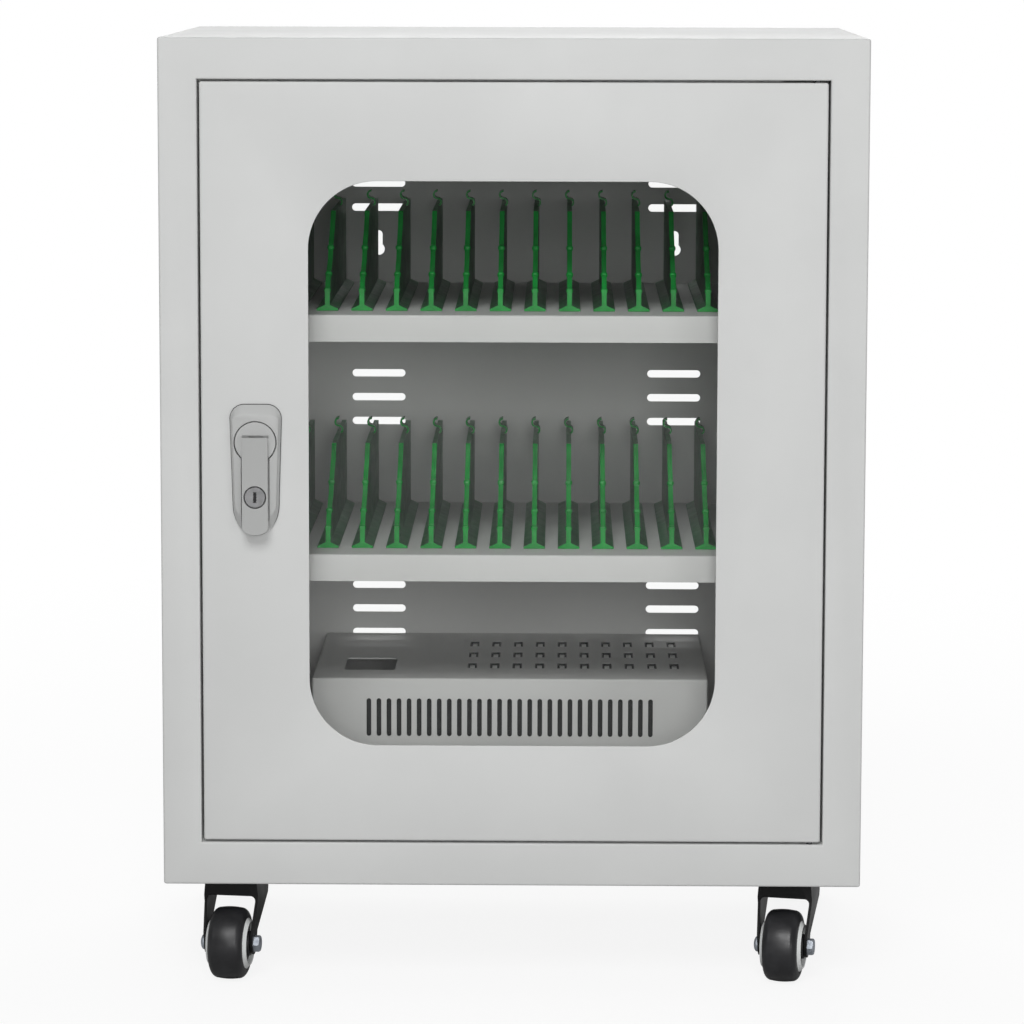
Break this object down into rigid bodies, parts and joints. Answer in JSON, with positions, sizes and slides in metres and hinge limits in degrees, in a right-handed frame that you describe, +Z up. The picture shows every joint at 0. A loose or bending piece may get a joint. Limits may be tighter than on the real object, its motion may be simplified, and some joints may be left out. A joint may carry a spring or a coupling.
{
  "type": "phone charging cabinet",
  "caption": "Sheet-steel cabinet on swivel casters with a lockable glazed door, shelves of upright phone dividers and a socket box for charging phones.",
  "frame": {"origin": "middle of the object's footprint, on the floor", "axes": "the door faces -Y, +X is to the right as one faces the door, +Z is up"},
  "size_m": [0.6, 0.4168, 0.818],
  "materials": {
    "steel": "light grey powder coat, satin",
    "panel": "light grey powder coat, satin",
    "glass": "clear float glass",
    "pin": "zinc-plated steel",
    "green": "green plastic, slightly see-through",
    "board": "green board with metal socket shells",
    "supply": "plain sheet aluminium",
    "inlet": "black moulded plastic",
    "lock": "silver-grey paint on a zinc casting",
    "cylinder": "plated metal",
    "cam": "zinc-plated steel",
    "fork": "black paint on pressed steel",
    "tyre": "black rubber, matt",
    "hub": "pale grey moulded plastic"
  },
  "bodies": {
    "cabinet": {"cabinet_shell": "steel", "floor_panel": "panel", "back_panel": "panel", "shelf_upper": "panel", "shelf_lower": "panel", "power_box_cover": "panel", "socket_board": "board", "power_supply": "supply", "mains_inlet": "inlet", "divider_upper_01": "green", "divider_upper_02": "green", "divider_upper_03": "green", "divider_upper_04": "green", "divider_upper_05": "green", "divider_upper_06": "green", "divider_upper_07": "green", "divider_upper_08": "green", "divider_upper_09": "green", "divider_upper_10": "green", "divider_upper_11": "green", "divider_upper_12": "green", "divider_upper_13": "green", "divider_upper_14": "green", "divider_lower_01": "green", "divider_lower_02": "green", "divider_lower_03": "green", "divider_lower_04": "green", "divider_lower_05": "green", "divider_lower_06": "green", "divider_lower_07": "green", "divider_lower_08": "green", "divider_lower_09": "green", "divider_lower_10": "green", "divider_lower_11": "green", "divider_lower_12": "green", "divider_lower_13": "green", "divider_lower_14": "green"},
    "door": {"door_panel": "steel", "window_glass": "glass", "glass_retainer": "panel", "hinge_pin_top": "pin", "hinge_pin_bottom": "pin", "lock_housing": "lock"},
    "lock_rotor": {"lock_disc": "lock", "lock_cam": "cam"},
    "lever": {"lock_lever": "lock", "lever_pin": "pin"},
    "key": {"key_cylinder": "cylinder"},
    "swivel_front_left": {"caster_fork_front_left": "fork"},
    "wheel_front_left": {"caster_tyre_front_left": "tyre", "caster_hub_front_left": "hub"},
    "swivel_front_right": {"caster_fork_front_right": "fork"},
    "wheel_front_right": {"caster_tyre_front_right": "tyre", "caster_hub_front_right": "hub"},
    "swivel_rear_left": {"caster_fork_rear_left": "fork"},
    "wheel_rear_left": {"caster_tyre_rear_left": "tyre", "caster_hub_rear_left": "hub"},
    "swivel_rear_right": {"caster_fork_rear_right": "fork"},
    "wheel_rear_right": {"caster_tyre_rear_right": "tyre", "caster_hub_rear_right": "hub"}
  },
  "joints": [
    {"name": "door_hinge", "type": "hinge", "parent": "cabinet", "child": "door", "pos_m": [0.256, -0.18795, 0.454], "axis": [0, 0, 1], "range_deg": [0, 110]},
    {"name": "handle_turn", "type": "hinge", "parent": "door", "child": "lock_rotor", "pos_m": [-0.2185, -0.19295, 0.476], "axis": [0, -1, 0], "range_deg": [0, 90]},
    {"name": "handle_lift", "type": "hinge", "parent": "lock_rotor", "child": "lever", "pos_m": [-0.2185, -0.19815, 0.4751], "axis": [-1, 0, 0], "range_deg": [0, 30]},
    {"name": "key_turn", "type": "hinge", "parent": "lever", "child": "key", "pos_m": [-0.2185, -0.20535, 0.4298], "axis": [0, -1, 0], "range_deg": [0, 90]},
    {"name": "swivel_front_left", "type": "hinge", "parent": "cabinet", "child": "swivel_front_left", "pos_m": [-0.242, -0.13495, 0.08], "axis": [0, 0, 1], "continuous": true},
    {"name": "roll_front_left", "type": "hinge", "parent": "swivel_front_left", "child": "wheel_front_left", "pos_m": [-0.24548, -0.15971, 0.0315], "axis": [0.9903, -0.1392, 0], "continuous": true},
    {"name": "swivel_front_right", "type": "hinge", "parent": "cabinet", "child": "swivel_front_right", "pos_m": [0.242, -0.13495, 0.08], "axis": [0, 0, 1], "continuous": true},
    {"name": "roll_front_right", "type": "hinge", "parent": "swivel_front_right", "child": "wheel_front_right", "pos_m": [0.23659, -0.15936, 0.0315], "axis": [0.9763, -0.2164, 0], "continuous": true},
    {"name": "swivel_rear_left", "type": "hinge", "parent": "cabinet", "child": "swivel_rear_left", "pos_m": [-0.242, 0.14905, 0.08], "axis": [0, 0, 1], "continuous": true},
    {"name": "roll_rear_left", "type": "hinge", "parent": "swivel_rear_left", "child": "wheel_rear_left", "pos_m": [-0.26115, 0.16512, 0.0315], "axis": [-0.6428, -0.766, 0], "continuous": true},
    {"name": "swivel_rear_right", "type": "hinge", "parent": "cabinet", "child": "swivel_rear_right", "pos_m": [0.242, 0.14905, 0.08], "axis": [0, 0, 1], "continuous": true},
    {"name": "roll_rear_right", "type": "hinge", "parent": "swivel_rear_right", "child": "wheel_rear_right", "pos_m": [0.26115, 0.16512, 0.0315], "axis": [-0.6428, 0.766, 0], "continuous": true}
  ]
}
